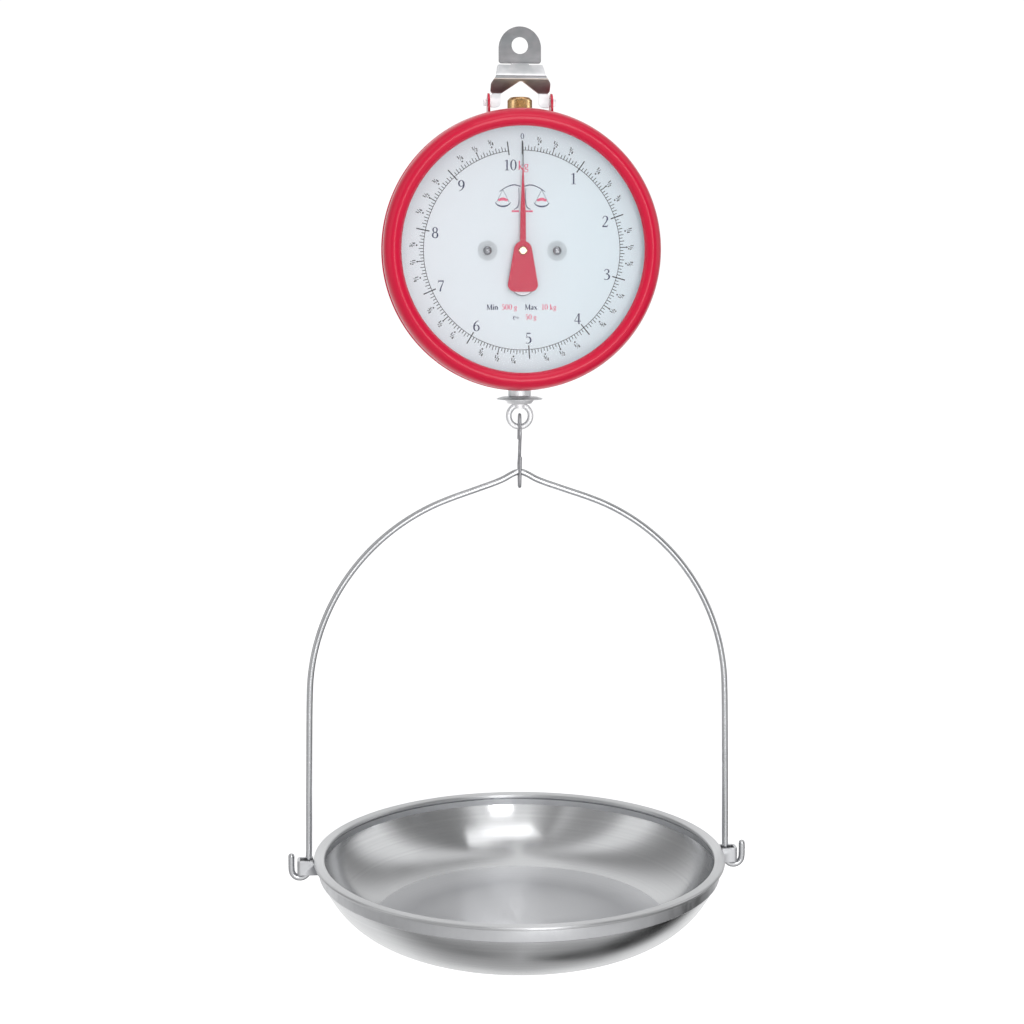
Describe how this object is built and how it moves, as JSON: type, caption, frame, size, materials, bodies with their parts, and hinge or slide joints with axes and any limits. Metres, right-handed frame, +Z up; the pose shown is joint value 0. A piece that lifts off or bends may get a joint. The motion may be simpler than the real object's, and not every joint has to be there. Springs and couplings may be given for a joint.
{
  "type": "hanging dial scale",
  "caption": "Hanging spring scale with a round dial housing, bent-sheet hanger, hook, wire bail and lift-out round pan.",
  "frame": {"origin": "centre of the hanging hole in the hanger's tab", "axes": "+Z up along the load line, -Y towards the person reading the dial, +X to that person's right"},
  "size_m": [0.3514, 0.3134, 0.6717],
  "materials": {
    "red_enamel": "gloss baked enamel",
    "zinc_plate": "bright zinc plate",
    "turned_brass": "turned and knurled",
    "bright_steel": "cold rolled",
    "dark_wire": "oil-darkened steel wire",
    "polished_stainless": "polished stainless wire",
    "pan_stainless": "mirror walls, satin rim and base",
    "dial_white": "printed white enamel",
    "clear_glass": "flat window glass",
    "clear_cup": "clear nylon cup",
    "white_plastic": "moulded spacer",
    "black_paint": "satin black"
  },
  "bodies": {
    "hanger": {"hanger_bracket": "zinc_plate"},
    "housing": {"rear_casing": "red_enamel", "front_bezel": "red_enamel", "dial_glass": "clear_glass", "glass_ring": "white_plastic", "dial_plate": "dial_white", "ear_left": "red_enamel", "ear_right": "red_enamel", "front_plate": "bright_steel", "back_plate": "bright_steel", "frame_post_1": "bright_steel", "frame_post_2": "bright_steel", "frame_post_3": "bright_steel", "frame_post_4": "bright_steel", "casing_screw_1": "bright_steel", "casing_screw_2": "bright_steel", "casing_screw_3": "bright_steel", "casing_screw_4": "bright_steel", "dial_washer_left": "clear_cup", "dial_screw_left": "bright_steel", "dial_washer_right": "clear_cup", "dial_screw_right": "bright_steel", "front_bearing": "turned_brass", "rear_bearing": "turned_brass", "knob_bush": "bright_steel", "bottom_collar": "zinc_plate"},
    "zero_adjuster": {"zero_knob": "turned_brass"},
    "anchor": {"spring_anchor": "bright_steel"},
    "carriage": {"lower_crossbar": "bright_steel", "rack": "turned_brass", "load_stem": "bright_steel", "stem_nut": "bright_steel", "drip_guard": "zinc_plate", "load_eye": "zinc_plate", "spring_left": "bright_steel", "spring_right": "bright_steel"},
    "indicator": {"pointer_spindle": "bright_steel", "pinion": "turned_brass", "pointer_hub": "turned_brass", "pointer": "red_enamel", "pointer_tip": "black_paint", "counterweight": "dark_wire"},
    "hook": {"s_hook": "dark_wire"},
    "bail_body": {"bail": "polished_stainless"},
    "cradle": {"cradle_hoop": "polished_stainless", "lug_left": "polished_stainless", "lug_right": "polished_stainless"},
    "pan_body": {"pan": "pan_stainless"}
  },
  "joints": [
    {"name": "housing_swing", "type": "hinge", "parent": "hanger", "child": "housing", "pos_m": [0, 0, -0.0401], "axis": [1, 0, 0], "range_deg": [-20, 20]},
    {"name": "zero_turn", "type": "hinge", "parent": "housing", "child": "zero_adjuster", "pos_m": [0, 0, -0.0415], "axis": [0, 0, 1], "range_deg": [-360, 360]},
    {"name": "anchor_lift", "type": "slide", "parent": "housing", "child": "anchor", "axis": [0, 0, 1], "range_m": [-0.00125, 0.00125]},
    {"name": "load_travel", "type": "slide", "parent": "housing", "child": "carriage", "axis": [0, 0, -1], "range_m": [0, 0.03932], "stiffness_N_per_m": 2495, "springref_m": -0.0052, "deforming": ["spring_left", "spring_right"]},
    {"name": "pointer_turn", "type": "hinge", "parent": "housing", "child": "indicator", "pos_m": [0, 0, -0.1465], "axis": [0, 1, 0], "range_deg": [0, 352.1]},
    {"name": "hook_sway", "type": "hinge", "parent": "carriage", "child": "hook", "pos_m": [0, 0, -0.2669], "axis": [0, 1, 0], "range_deg": [-20, 20]},
    {"name": "bail_swing", "type": "hinge", "parent": "hook", "child": "bail_body", "pos_m": [0, 0, -0.3084], "axis": [1, 0, 0], "range_deg": [-20, 20]},
    {"name": "cradle_tilt", "type": "hinge", "parent": "bail_body", "child": "cradle", "pos_m": [0, 0, -0.6133], "axis": [1, 0, 0], "range_deg": [-4, 4]},
    {"name": "pan_lift", "type": "slide", "parent": "cradle", "child": "pan_body", "axis": [0, 0, 1], "range_m": [0, 0.02]}
  ],
  "couplings": [
    {"joint": "zero_turn", "follows": "anchor_lift", "rad_per_m": 5026.5},
    {"joint": "pointer_turn", "follows": "load_travel", "rad_per_m": 156.25}
  ]
}
